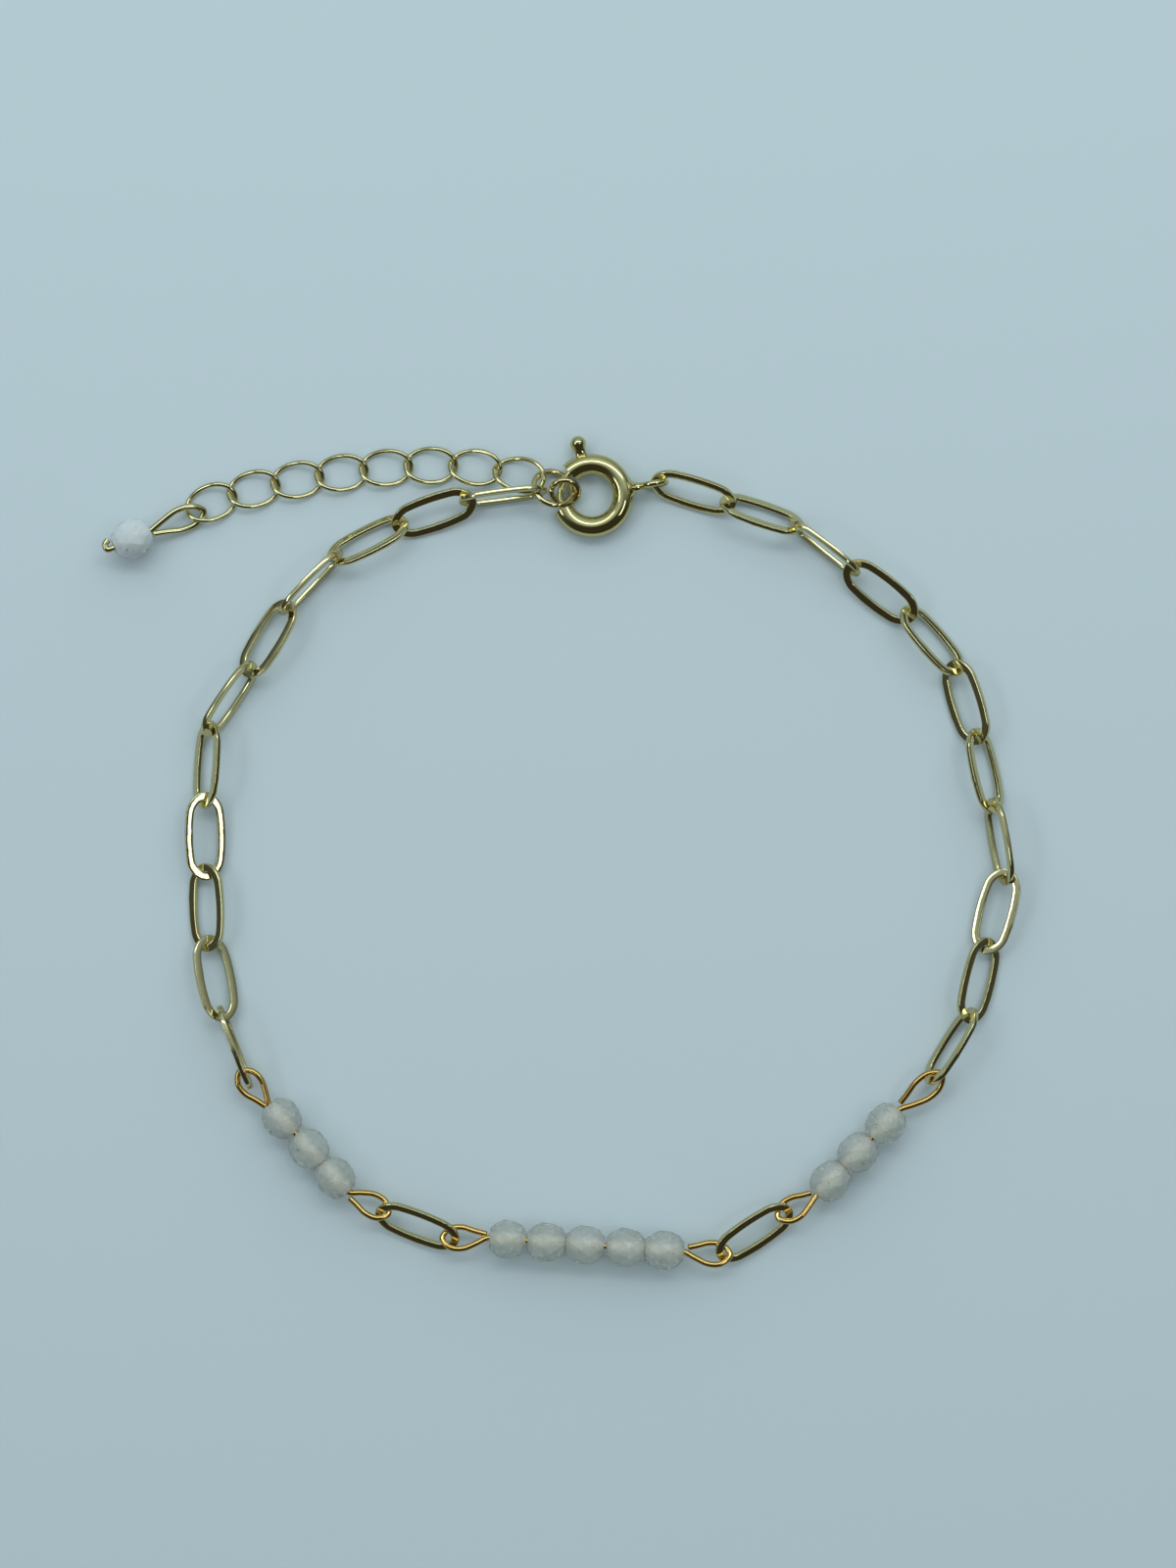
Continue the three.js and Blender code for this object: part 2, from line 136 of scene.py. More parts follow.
def plated(name, colour, worn, ripple, gloss):
    """Polished brass under a thin plating of the given colour."""
    material = bpy.data.materials.new(name)
    material.use_nodes = True
    tree = material.node_tree
    shader = tree.nodes["Principled BSDF"]
    shader.inputs["Metallic"].default_value = 1.0
    wear = add_node(tree, "ShaderNodeGroup", node_tree=plating)
    for socket, value in (("Plating", colour), ("Worn", worn), ("Ripple", ripple), ("Gloss", gloss)):
        wear.inputs[socket].default_value = value
    tree.links.new(wear.outputs["Color"], shader.inputs["Base Color"])
    tree.links.new(wear.outputs["Roughness"], shader.inputs["Roughness"])
    tree.links.new(wear.outputs["Normal"], shader.inputs["Normal"])
    return material


rolled_gold = plated("rolled_link_plating", PALE_GOLD, PALE_GOLD_WORN, ripple=0.36, gloss=0.05)


def lie_of(node):
    """Where a CAD node lies: its middle, and its long, middle and short axes, as one matrix."""
    corners = np.array([v.co for v in frame["nodes"][node].data.vertices])
    corners = np.unique(np.round(corners, 8), axis=0)
    middle = corners.mean(axis=0)
    axes = np.linalg.eigh(np.cov((corners - middle).T))[1]
    across = Vector(axes[:, 0])
    along = Vector(axes[:, 2])
    if across.z < 0:
        across.negate()
    if along.x < 0:
        along.negate()
    lie = Matrix((along, across.cross(along), across)).transposed().to_4x4()
    lie.translation = middle
    return lie


def skin(rings, closed):
    """The points and faces of a skin through rings of points, capped where it isn't closed."""
    count = len(rings[0])
    points = [point for ring in rings for point in ring]
    faces = []
    for i in range(len(rings) if closed else len(rings) - 1):
        near = i * count
        far = (i + 1) % len(rings) * count
        for k in range(count):
            after = (k + 1) % count
            faces.append((near + k, near + after, far + after, far + k))
    if not closed:
        faces.append(tuple(range(count)))
        faces.append(tuple(range(len(points) - count, len(points))))
    return points, faces


def ring_about(centre, along, up, section, swell=1.0):
    """A section set square to the line at one point of it."""
    across = along.cross(up).normalized()
    rise = across.cross(along).normalized()
    return [centre + across * (x * swell) + rise * (y * swell) for x, y in section]


def closed_wire(line, section, swells):
    """A wire bent to a closed loop whose plane is level; swells is its thickness at each point."""
    count = len(line)
    rings = []
    for i, centre in enumerate(line):
        along = (line[(i + 1) % count] - line[i - 1]).normalized()
        rings.append(ring_about(centre, along, Vector((0, 0, 1)), section, swells[i]))
    return skin(rings, closed=True)


def mesh_of(name, points, faces):
    """A mesh with its faces turned out, smooth except over sharp angles."""
    mesh = bpy.data.meshes.new(name)
    mesh.from_pydata([tuple(point) for point in points], [], faces)
    shape = bmesh.new()
    shape.from_mesh(mesh)
    bmesh.ops.recalc_face_normals(shape, faces=shape.faces)
    shape.to_mesh(mesh)
    shape.free()
    mesh.shade_smooth()
    mesh.set_sharp_from_angle(angle=math.radians(SHARP_ANGLE))
    return mesh


def put_on(name, mesh, material, body, node):
    """Hangs a finished piece on its body, in place of the CAD node that it stands for."""
    lowest = min(vertex.co.z for vertex in mesh.vertices)
    if lowest < 0:
        mesh.transform(Matrix.Translation((0, 0, -lowest)))
    mesh.materials.append(material)
    piece = bpy.data.objects.new(name, mesh)
    bpy.context.scene.collection.objects.link(piece)
    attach(piece, body)
    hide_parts(node)
    return piece


def flat_section(width, height, squareness, count):
    """A flattened wire's section: a rectangle whose corners are rolled round."""
    section = []
    for k in range(count):
        angle = 2 * math.pi * k / count
        c, s = math.cos(angle), math.sin(angle)
        x = math.copysign(abs(c) ** (2 / squareness), c) * width / 2
        y = math.copysign(abs(s) ** (2 / squareness), s) * height / 2
        section.append((x, y))
    return section


def paperclip_line():
    """The link's centre line: two long sides, bowed out a little, and two round ends."""
    radius = (LINK_WIDTH - LINK_BAND) / 2
    straight = (LINK_LENGTH - LINK_BAND) / 2 - radius
    line = []
    for end in (1, -1):
        for step in range(LINK_END_STEPS + 1):
            angle = -math.pi / 2 + math.pi * step / LINK_END_STEPS
            x = straight + radius * math.cos(angle)
            line.append(Vector((end * x, end * radius * math.sin(angle), 0)))
        for step in range(1, LINK_SIDE_STEPS):
            x = straight - 2 * straight * step / LINK_SIDE_STEPS
            line.append(Vector((end * x, end * radius, 0)))
    for point in line:
        point.y *= 1 - LINK_BOW * (point.x / (straight + radius)) ** 2
    return line


def paperclip(node):
    """One link, with its solder seam at its own place along a side and the wire's slight unevenness."""
    chance = random.Random(node)
    line = paperclip_line()
    seam = Vector((chance.uniform(-1, 1) * MM, -(LINK_WIDTH - LINK_BAND) / 2, 0))
    phase = chance.uniform(0, 2 * math.pi)
    waves = chance.choice((2, 3))
    swells = []
    for i, point in enumerate(line):
        around = 2 * math.pi * i / len(line)
        solder = SOLDER_SWELL * math.exp(-(((point - seam).length / SOLDER_REACH) ** 2))
        swells.append(1 + solder + ROLLING_SWELL * math.sin(waves * around + phase) - ROLLING_SWELL)
    section = flat_section(LINK_BAND, LINK_THICKNESS, LINK_SQUARENESS, LINK_SECTION_POINTS)
    points, faces = closed_wire(line, section, swells)
    mesh = mesh_of(node + "_link", points, faces)
    mesh.transform(lie_of(node))
    put_on(node + "_plated", mesh, rolled_gold, "bracelet", node)


nodes = sorted(frame["nodes"])
for node in nodes:
    if node.startswith(("left_link", "right_link", "front_left_link", "front_right_link")):
        paperclip(node)


# Extender chain, eight links beyond the clasp for closing the bracelet looser.
# Each is thin round brass wire, bent to an oval and twisted so that its ends stand on edge,
# soldered shut and plated pale gold.

EXTENDER_LENGTH = 4.15 * MM
EXTENDER_WIDTH = 2.87 * MM
EXTENDER_WIRE = 0.345 * MM
EXTENDER_TWIST = 0.29 * MM
EXTENDER_STEPS = 72
ROUND_POINTS = 14

pale_gold = plated("round_wire_plating", PALE_GOLD, PALE_GOLD_WORN, ripple=0.12, gloss=0.05)


def round_section(diameter):
    """A round wire's section."""
    angles = [2 * math.pi * k / ROUND_POINTS for k in range(ROUND_POINTS)]
    return [(math.cos(a) * diameter / 2, math.sin(a) * diameter / 2) for a in angles]


def twisted_oval(node):
    """One link of the extender, with its solder seam on the side that lies down."""
    line = []
    swells = []
    for i in range(EXTENDER_STEPS):
        t = 2 * math.pi * i / EXTENDER_STEPS
        x = (EXTENDER_LENGTH - EXTENDER_WIRE) / 2 * math.cos(t)
        y = (EXTENDER_WIDTH - EXTENDER_WIRE) / 2 * math.sin(t)
        line.append(Vector((x, y, EXTENDER_TWIST * math.sin(2 * t))))
        swells.append(1 + SOLDER_SWELL * math.exp(-((line[-1] - line[0]).length / SOLDER_REACH) ** 2))
    points, faces = closed_wire(line, round_section(EXTENDER_WIRE), swells)
    mesh = mesh_of(node + "_link", points, faces)
    mesh.transform(lie_of(node))
    put_on(node + "_plated", mesh, pale_gold, "bracelet", node)


for node in nodes:
    if node.startswith("extender_link"):
        twisted_oval(node)


# Two jump rings that join the clasp's bolt to the bracelet's end and to the extender.
# Each is round brass wire bent to a ring, not soldered: its two cut ends butt together.

JUMP_RINGS = (
    {"node": "jump_ring_large", "diameter": 3.4 * MM, "wire": 0.47 * MM, "joint": -85},
    {"node": "jump_ring_small", "diameter": 2.5 * MM, "wire": 0.45 * MM, "joint": 160},
)
RING_STEPS = 72
BUTT_GAP = 0.09 * MM
CUT_BEVEL = 0.12


def open_wire(line, ups, section):
    """A wire with two cut ends: its section carried along the line, each cut's edge rounded off."""
    rings = []
    thickness = max(x for x, _ in section) * 2
    tangents = []
    for i in range(len(line)):
        ahead = line[min(i + 1, len(line) - 1)]
        behind = line[max(i - 1, 0)]
        tangents.append((ahead - behind).normalized())
    for i, centre in enumerate(line):
        rings.append(ring_about(centre, tangents[i], ups[i], section))
    bevel = CUT_BEVEL * thickness
    head = ring_about(line[0] - tangents[0] * bevel, tangents[0], ups[0], section, 1 - 2 * CUT_BEVEL)
    tail = ring_about(line[-1] + tangents[-1] * bevel, tangents[-1], ups[-1], section, 1 - 2 * CUT_BEVEL)
    return skin([head] + rings + [tail], closed=False)


def jump_ring(row):
    """A butted ring; its joint stands at the row's heading, seen from above."""
    radius = (row["diameter"] - row["wire"]) / 2
    bevel = CUT_BEVEL * row["wire"]
    half_gap = (BUTT_GAP / 2 + bevel) / radius
    lie = lie_of(row["node"])
    heading = math.radians(row["joint"])
    towards = lie.to_3x3().inverted() @ Vector((math.cos(heading), math.sin(heading), 0))
    start = math.atan2(towards.y, towards.x)
    line = []
    for i in range(RING_STEPS + 1):
        angle = start + half_gap + (2 * math.pi - 2 * half_gap) * i / RING_STEPS
        line.append(Vector((radius * math.cos(angle), radius * math.sin(angle), 0)))
    ups = [Vector((0, 0, 1))] * len(line)
    points, faces = open_wire(line, ups, round_section(row["wire"]))
    mesh = mesh_of(row["node"] + "_ring", points, faces)
    mesh.transform(lie)
    put_on(row["node"] + "_plated", mesh, pale_gold, "bracelet", row["node"])


for row in JUMP_RINGS:
    jump_ring(row)


# Spring-ring clasp. Its body is a thin brass tube bent to a ring with an open mouth and a slot
# along its outside, and a small loop soldered on; its bolt is a bent wire with a round knob.
# A spring inside the tube pushes the bolt shut. Both are plated pale gold and polished.

CLASP_DIAMETER = 6.25 * MM
CLASP_TUBE = 1.55 * MM
CLASP_WALL = 0.2 * MM
CLASP_MOUTH = (134, 206)
CLASP_SLOT = (26, 116)
CLASP_SLOT_WIDTH = 0.6 * MM
CLASP_LOOP_DIAMETER = 2.3 * MM
CLASP_LOOP_WIRE = 0.5 * MM
CLASP_LOOP_REACH = 5.85 * MM
CLASP_LOOP_ANGLE = 10
BOLT_WIRE = 0.5 * MM
BOLT_TIP = 209
BOLT_TAIL = 95
KNOB_ANGLE = 105
KNOB_REACH = 4.0 * MM
KNOB_NECK_FLATNESS = 0.47
CLASP_RADIUS = (CLASP_DIAMETER - CLASP_TUBE) / 2
CLASP_GOLD = (0.91, 0.83, 0.40, 1)
CLASP_GOLD_WORN = (0.84, 0.71, 0.29, 1)
TUBE_STEP = 3
WALL_STEPS = 30
SLOT_STEPS = 8
BOLT_STEP = 2

clasp_gold = plated("clasp_plating", CLASP_GOLD, CLASP_GOLD_WORN, ripple=0.25, gloss=0.03)

joint = frame["joints"][0]
clasp_up = -Vector(joint["axis"]).normalized()
clasp_side = Vector((1, 0, 0))
clasp_side = (clasp_side - clasp_up * clasp_side.dot(clasp_up)).normalized()
clasp_lie = Matrix((clasp_side, clasp_up.cross(clasp_side), clasp_up)).transposed().to_4x4()
clasp_lie.translation = Vector(joint["pos_m"])


def clasp_point(angle, out, rise):
    """A point of the clasp, in its own plane: out from the tube's middle, at an angle in degrees."""
    turn = math.radians(angle)
    reach = CLASP_RADIUS + out
    return Vector((reach * math.cos(turn), reach * math.sin(turn), rise))


def wall_angles(radius):
    """Angles round the tube's section, from one lip of the slot round to the other and across it."""
    lip = math.asin(CLASP_SLOT_WIDTH / 2 / radius)
    wall = [lip + (2 * math.pi - 2 * lip) * k / WALL_STEPS for k in range(WALL_STEPS + 1)]
    slot = [-lip + 2 * lip * k / SLOT_STEPS for k in range(1, SLOT_STEPS)]
    return wall + slot


def tube_body():
    """The bent tube: an outer and an inner wall, joined at the mouth's rims and round the slot."""
    start = CLASP_MOUTH[1] - 360
    stops = [float(a) for a in range(start, CLASP_MOUTH[0] + 1, TUBE_STEP)]
    stops = sorted(set(stops) | {float(CLASP_SLOT[0]), float(CLASP_SLOT[1]), float(CLASP_MOUTH[0])})
    shape = bmesh.new()
    walls = []
    for radius in (CLASP_TUBE / 2, CLASP_TUBE / 2 - CLASP_WALL):
        grid = []
        for stop in stops:
            ring = []
            for a in wall_angles(radius):
                ring.append(shape.verts.new(clasp_point(stop, radius * math.cos(a), radius * math.sin(a))))
            grid.append(ring)
        walls.append(grid)
    outer, inner = walls
    count = len(outer[0])

    def open_here(i, k):
        in_slot = CLASP_SLOT[0] <= (stops[i] + stops[i + 1]) / 2 <= CLASP_SLOT[1]
        return in_slot and k >= WALL_STEPS

    for i in range(len(stops) - 1):
        for k in range(count):
            after = (k + 1) % count
            if not open_here(i, k):
                for grid in walls:
                    shape.faces.new((grid[i][k], grid[i][after], grid[i + 1][after], grid[i + 1][k]))
    for rim in (0, len(stops) - 1):
        for k in range(count):
            after = (k + 1) % count
            shape.faces.new((outer[rim][k], outer[rim][after], inner[rim][after], inner[rim][k]))
    first = stops.index(float(CLASP_SLOT[0]))
    last = stops.index(float(CLASP_SLOT[1]))
    for lip in (0, WALL_STEPS):
        for i in range(first, last):
            shape.faces.new((outer[i][lip], outer[i + 1][lip], inner[i + 1][lip], inner[i][lip]))
    for end in (first, last):
        for k in range(WALL_STEPS, count):
            after = (k + 1) % count
            shape.faces.new((outer[end][k], outer[end][after], inner[end][after], inner[end][k]))
    bmesh.ops.recalc_face_normals(shape, faces=shape.faces)
    mesh = bpy.data.meshes.new("tube_body")
    shape.to_mesh(mesh)
    shape.free()
    return mesh


def turned(profile, count):
    """A solid about its own X axis from a profile of (along, radius, height), closed at both ends."""
    rings = []
    for along, radius, height in profile:
        rings.append(
            [
                Vector((along, radius * math.cos(a), height * math.sin(a)))
                for a in (2 * math.pi * k / count for k in range(count))
            ]
        )
    return skin(rings, closed=False)


def attachment_loop():
    """The small round loop, standing on edge."""
    radius = (CLASP_LOOP_DIAMETER - CLASP_LOOP_WIRE) / 2
    angles = [2 * math.pi * i / RING_STEPS for i in range(RING_STEPS)]
    line = [Vector((radius * math.cos(a), radius * math.sin(a), 0)) for a in angles]
    points, faces = closed_wire(line, round_section(CLASP_LOOP_WIRE), [1.0] * len(line))
    mesh = mesh_of("attachment_loop", points, faces)
    mesh.transform(Matrix.Rotation(math.pi / 2, 4, "X"))
    mesh.transform(Matrix.Translation((CLASP_LOOP_REACH - CLASP_LOOP_DIAMETER / 2, 0, 0)))
    return mesh


SOLDER_FILLET = (
    {"along": -0.30, "radius": 0.74},
    {"along": -0.08, "radius": 0.66},
    {"along": 0.02, "radius": 0.56},
    {"along": 0.12, "radius": 0.46},
    {"along": 0.26, "radius": 0.38},
    {"along": 0.44, "radius": 0.33},
    {"along": 0.66, "radius": 0.29},
    {"along": 0.84, "radius": 0.26},
)


def joined(name, meshes):
    """Solids fused into one body."""
    made = []
    for mesh in meshes:
        piece = bpy.data.objects.new(mesh.name, mesh)
        bpy.context.scene.collection.objects.link(piece)
        made.append(piece)
    base = made[0]
    for other in made[1:]:
        fuse = base.modifiers.new("fuse", "BOOLEAN")
        fuse.operation = "UNION"
        fuse.solver = "EXACT"
        fuse.object = other
    graph = bpy.context.evaluated_depsgraph_get()
    mesh = bpy.data.meshes.new_from_object(base.evaluated_get(graph))
    mesh.name = name
    for piece in made:
        bpy.data.objects.remove(piece)
    mesh.shade_smooth()
    mesh.set_sharp_from_angle(angle=math.radians(SHARP_ANGLE))
    return mesh


outside = CLASP_DIAMETER / 2
fillet_profile = []
for row in SOLDER_FILLET:
    fillet_profile.append((outside + row["along"] * MM, row["radius"] * MM, row["radius"] * MM))
fillet = mesh_of("solder_fillet", *turned(fillet_profile, ROUND_POINTS * 2))
clasp_loop = attachment_loop()
for mesh in (fillet, clasp_loop):
    mesh.transform(Matrix.Rotation(math.radians(CLASP_LOOP_ANGLE), 4, "Z"))
body_mesh = joined("spring_ring_body", [tube_body(), clasp_loop, fillet])
body_mesh.transform(clasp_lie)
put_on("spring_ring_plated", body_mesh, clasp_gold, "bracelet", "spring_ring")

KNOB_PROFILE = (
    {"from_knob": -1.65, "radius": 0.24, "flat": 1},
    {"from_knob": -1.35, "radius": 0.40, "flat": 1},
    {"from_knob": -0.90, "radius": 0.42, "flat": 1},
    {"from_knob": -0.66, "radius": 0.41, "flat": 0.9},
    {"from_knob": -0.46, "radius": 0.43, "flat": 0.6},
    {"from_knob": -0.28, "radius": 0.51, "flat": 0.2},
    {"from_knob": -0.10, "radius": 0.58, "flat": 0},
    {"from_knob": 0.08, "radius": 0.59, "flat": 0},
    {"from_knob": 0.26, "radius": 0.53, "flat": 0},
    {"from_knob": 0.41, "radius": 0.41, "flat": 0},
    {"from_knob": 0.52, "radius": 0.24, "flat": 0},
    {"from_knob": 0.57, "radius": 0.06, "flat": 0},
)

bolt_line = [clasp_point(angle, 0, 0) for angle in range(BOLT_TAIL, BOLT_TIP + 1, BOLT_STEP)]
bolt_ups = [Vector((0, 0, 1))] * len(bolt_line)
bolt_wire = mesh_of("bolt_wire", *open_wire(bolt_line, bolt_ups, round_section(BOLT_WIRE)))
knob_profile = []
for row in KNOB_PROFILE:
    height = row["radius"] * (1 - (1 - KNOB_NECK_FLATNESS) * row["flat"])
    knob_profile.append((KNOB_REACH + row["from_knob"] * MM, row["radius"] * MM, height * MM))
knob = mesh_of("bolt_knob", *turned(knob_profile, ROUND_POINTS * 2))
knob.transform(Matrix.Rotation(math.radians(KNOB_ANGLE), 4, "Z"))
bolt_mesh = joined("bolt", [bolt_wire, knob])
bolt_mesh.transform(clasp_lie)
put_on("clasp_bolt_plated", bolt_mesh, clasp_gold, "bolt", "clasp_bolt")


# Moonstone beads, three bars of them and one at the extender's end.
# Each is feldspar cut by hand to a round bead of rows of small facets, drilled through, and softly
# polished. It is milky, and the wire shows as a warm streak inside it, partly through the stone and partly
# as a painted glow on the bore's wall.

BEAD_ROWS = (
    {"along": -1.0, "radius": 0.50},
    {"along": -0.72, "radius": 0.80},
    {"along": -0.27, "radius": 0.985},
    {"along": 0.27, "radius": 0.985},
    {"along": 0.72, "radius": 0.80},
    {"along": 1.0, "radius": 0.50},
)
BEAD_HALF_LENGTH = 1.455 * MM
BEAD_RADIUS = 1.49 * MM
BEAD_BORE = 0.31 * MM
BEAD_FACETS = 10
BEAD_UNEVENNESS = 0.05 * MM
BEAD_PROUD_SHARE = 0.2
BEAD_EDGE = 0.035 * MM

# How far an end stands in from its neighbour, where the wire shows between two beads
BEAD_TRIMS = (
    {"node": "front_bead_1", "near": 0.15, "far": 0.06},
    {"node": "front_bead_2", "near": 0.06, "far": 0.0},
    {"node": "front_bead_3", "near": 0.0, "far": 0.07},
    {"node": "front_bead_4", "near": 0.07, "far": 0.0},
    {"node": "left_bead_1", "near": 0.0, "far": 0.09},
    {"node": "left_bead_2", "near": 0.07, "far": 0.0},
    {"node": "right_bead_2", "near": 0.0, "far": 0.07},
    {"node": "right_bead_3", "near": 0.07, "far": 0.0},
)

MOONSTONE_CLEAR = (0.75, 0.79, 0.72, 1)
MOONSTONE_MILK = (0.87, 0.90, 0.86, 1)
WHITE_CLEAR = (0.68, 0.71, 0.70, 1)
WHITE_MILK = (0.80, 0.83, 0.83, 1)
# Painted glow: the warm light off the wire inside, painted on the bore's wall
BORE_PAINTED_GLOW = (0.90, 0.58, 0.26, 1)
INCLUSION = (0.20, 0.15, 0.08, 1)
STONE_IOR = 1.52
STONE_SCATTER = (1.0, 0.95, 0.9)
RUBBED_DEPTH = 0.05 * MM


def feldspar_group():
    """Moonstone's inside: drifting milk and a few dark specks, under a softly rubbed surface."""
    group = bpy.data.node_groups.new("feldspar", "ShaderNodeTree")
    sockets = group.interface
    for name in ("Clear", "Milk", "Speck"):
        sockets.new_socket(name, in_out="INPUT", socket_type="NodeSocketColor")
    for name, kind in (("Color", "Color"), ("Roughness", "Float"), ("Normal", "Vector")):
        sockets.new_socket(name, in_out="OUTPUT", socket_type="NodeSocket" + kind)
    start = group.nodes.new("NodeGroupInput").outputs
    place = add_node(group, "ShaderNodeTexCoord").outputs["Object"]
    drift = add_node(
        group,
        "ShaderNodeTexNoise",
        {"Vector": place, "Scale": 620.0, "Detail": 4.0, "Distortion": 0.8},
    )
    cloud = add_node(
        group,
        "ShaderNodeMapRange",
        {"Value": drift.outputs["Fac"], "From Min": 0.32, "From Max": 0.68},
    )
    body = add_node(
        group,
        "ShaderNodeMix",
        {"Factor": cloud.outputs["Result"], "A": start["Clear"], "B": start["Milk"]},
        data_type="RGBA",
    )
    specks = add_node(group, "ShaderNodeTexNoise", {"Vector": place, "Scale": 2100.0, "Detail": 1.0})
    dark = add_node(
        group,
        "ShaderNodeMapRange",
        {"Value": specks.outputs["Fac"], "From Min": 0.73, "From Max": 0.80, "To Max": 0.7},
    )
    colour = add_node(
        group,
        "ShaderNodeMix",
        {"Factor": dark.outputs["Result"], "A": body.outputs["Result"], "B": start["Speck"]},
        data_type="RGBA",
    )
    rubbed = add_node(group, "ShaderNodeTexNoise", {"Vector": place, "Scale": 1500.0, "Detail": 1.5})
    polish = add_node(
        group,
        "ShaderNodeMapRange",
        {"Value": rubbed.outputs["Fac"], "To Min": 0.2, "To Max": 0.32},
    )
    surface = add_node(
        group,
        "ShaderNodeBump",
        {"Strength": 0.1, "Distance": RUBBED_DEPTH, "Height": rubbed.outputs["Fac"]},
    )
    end = group.nodes.new("NodeGroupOutput").inputs
    group.links.new(colour.outputs["Result"], end["Color"])
    group.links.new(polish.outputs["Result"], end["Roughness"])
    group.links.new(surface.outputs["Normal"], end["Normal"])
    return group


feldspar = feldspar_group()


def moonstone(name, clear, milk, transmission, depth):
    """Milky translucent stone, with light scattered inside it to the given depth."""
    material = bpy.data.materials.new(name)
    material.use_nodes = True
    tree = material.node_tree
    shader = tree.nodes["Principled BSDF"]
    stone = add_node(tree, "ShaderNodeGroup", node_tree=feldspar)
    for socket, value in (("Clear", clear), ("Milk", milk), ("Speck", INCLUSION)):
        stone.inputs[socket].default_value = value
    tree.links.new(stone.outputs["Color"], shader.inputs["Base Color"])
    tree.links.new(stone.outputs["Roughness"], shader.inputs["Roughness"])
    tree.links.new(stone.outputs["Normal"], shader.inputs["Normal"])
    shader.inputs["IOR"].default_value = STONE_IOR
    shader.inputs["Transmission Weight"].default_value = transmission
    shader.inputs["Subsurface Weight"].default_value = 1.0
    shader.inputs["Subsurface Radius"].default_value = STONE_SCATTER
    shader.inputs["Subsurface Scale"].default_value = depth
    return material


def bore_wall_painted_glow():
    """The rough wall of a bore, painted in patches with a warm glow that stands for light reflected off
    the wire running through it.
    """
    material = bpy.data.materials.new("bore_wall_painted_glow")
    material.use_nodes = True
    tree = material.node_tree
    shader = tree.nodes["Principled BSDF"]
    patches = add_node(tree, "ShaderNodeTexNoise", {"Scale": 1800.0, "Detail": 3.0})
    # Painted reflection of the wire: its warm glow mixed in patches with the stone's milk
    blend = {"Factor": patches.outputs["Fac"], "A": BORE_PAINTED_GLOW, "B": MOONSTONE_MILK}
    colour = add_node(tree, "ShaderNodeMix", blend, data_type="RGBA")
    tree.links.new(colour.outputs["Result"], shader.inputs["Base Color"])
    shader.inputs["Roughness"].default_value = 0.7
    return material


bore_with_painted_glow = bore_wall_painted_glow()
milky_stone = moonstone("moonstone", MOONSTONE_CLEAR, MOONSTONE_MILK, transmission=0.65, depth=1.0 * MM)
white_stone = moonstone("white_moonstone", WHITE_CLEAR, WHITE_MILK, transmission=0.2, depth=0.7 * MM)


def facet_angle(k, number):
    """Where a corner of a row stands about the bore; each row is turned half a facet."""
    return 2 * math.pi * (k + 0.25 + 0.5 * (number % 2)) / BEAD_FACETS


def cut_bead(node, near_trim=0.0, far_trim=0.0):
    """One bead: staggered rows of facets about its bore, no two beads cut quite alike."""
    chance = random.Random(node)
    near_end = near_trim - BEAD_HALF_LENGTH
    far_end = BEAD_HALF_LENGTH - far_trim
    shape = bmesh.new()
    rows = []
    for number, row in enumerate(BEAD_ROWS):
        ring = []
        for k in range(BEAD_FACETS):
            angle = facet_angle(k, number) + chance.uniform(-1, 1) * BEAD_UNEVENNESS / BEAD_RADIUS
            radius = row["radius"] * BEAD_RADIUS + chance.uniform(-1, BEAD_PROUD_SHARE) * BEAD_UNEVENNESS
            along = near_end + (far_end - near_end) * (row["along"] + 1) / 2
            if abs(row["along"]) < 1:
                along += chance.uniform(-1, 1) * BEAD_UNEVENNESS
            ring.append(shape.verts.new((along, radius * math.cos(angle), radius * math.sin(angle))))
        rows.append(ring)
    bores = []
    for number, end in ((0, near_end), (len(BEAD_ROWS) - 1, far_end)):
        ring = []
        for k in range(BEAD_FACETS):
            angle = facet_angle(k, number)
            at = (end, BEAD_BORE * math.cos(angle), BEAD_BORE * math.sin(angle))
            ring.append(shape.verts.new(at))
        bores.append(ring)
    for number in range(len(rows) - 1):
        low, high = rows[number], rows[number + 1]
        lead = number % 2
        for k in range(BEAD_FACETS):
            after = (k + 1) % BEAD_FACETS
            if lead:
                shape.faces.new((low[k], high[after], high[k]))
                shape.faces.new((low[k], low[after], high[after]))
            else:
                shape.faces.new((low[k], low[after], high[k]))
                shape.faces.new((low[after], high[after], high[k]))
    facet_edges = list(shape.edges)
    for ring, bore in ((rows[0], bores[0]), (rows[-1], bores[1])):
        for k in range(BEAD_FACETS):
            after = (k + 1) % BEAD_FACETS
            shape.faces.new((ring[k], ring[after], bore[after], bore[k]))
    for k in range(BEAD_FACETS):
        after = (k + 1) % BEAD_FACETS
        near, far = bores
        wall = shape.faces.new((near[k], near[after], far[after], far[k]))
        wall.material_index = 1
    bmesh.ops.recalc_face_normals(shape, faces=shape.faces)
    bmesh.ops.bevel(
        shape, geom=facet_edges, offset=BEAD_EDGE, segments=2, profile=0.6, affect="EDGES"
    )
    mesh = bpy.data.meshes.new(node + "_cut")
    shape.to_mesh(mesh)
    shape.free()
    mesh.transform(lie_of(node))
    for vertex in mesh.vertices:
        vertex.co.z = max(vertex.co.z, 0.0)
    return mesh


trims = {row["node"]: (row["near"] * MM, row["far"] * MM) for row in BEAD_TRIMS}
for node in nodes:
    if "_bead_" in node:
        stone = cut_bead(node, *trims.get(node, (0, 0)))
        bead = put_on(node + "_stone", stone, milky_stone, "bracelet", node)
        bead.data.materials.append(bore_with_painted_glow)
end_stone = cut_bead("end_bead")
bead = put_on("end_bead_stone", end_stone, white_stone, "bracelet", "end_bead")
bead.data.materials.append(bore_with_painted_glow)


# Wires through the beads. Each bar's is one length of deeper-gold round wire with a teardrop
# eye bent at both ends, the cut end lying beside the bead; the end bead's is paler, with one
# eye, and its tail is bent over under the bead.

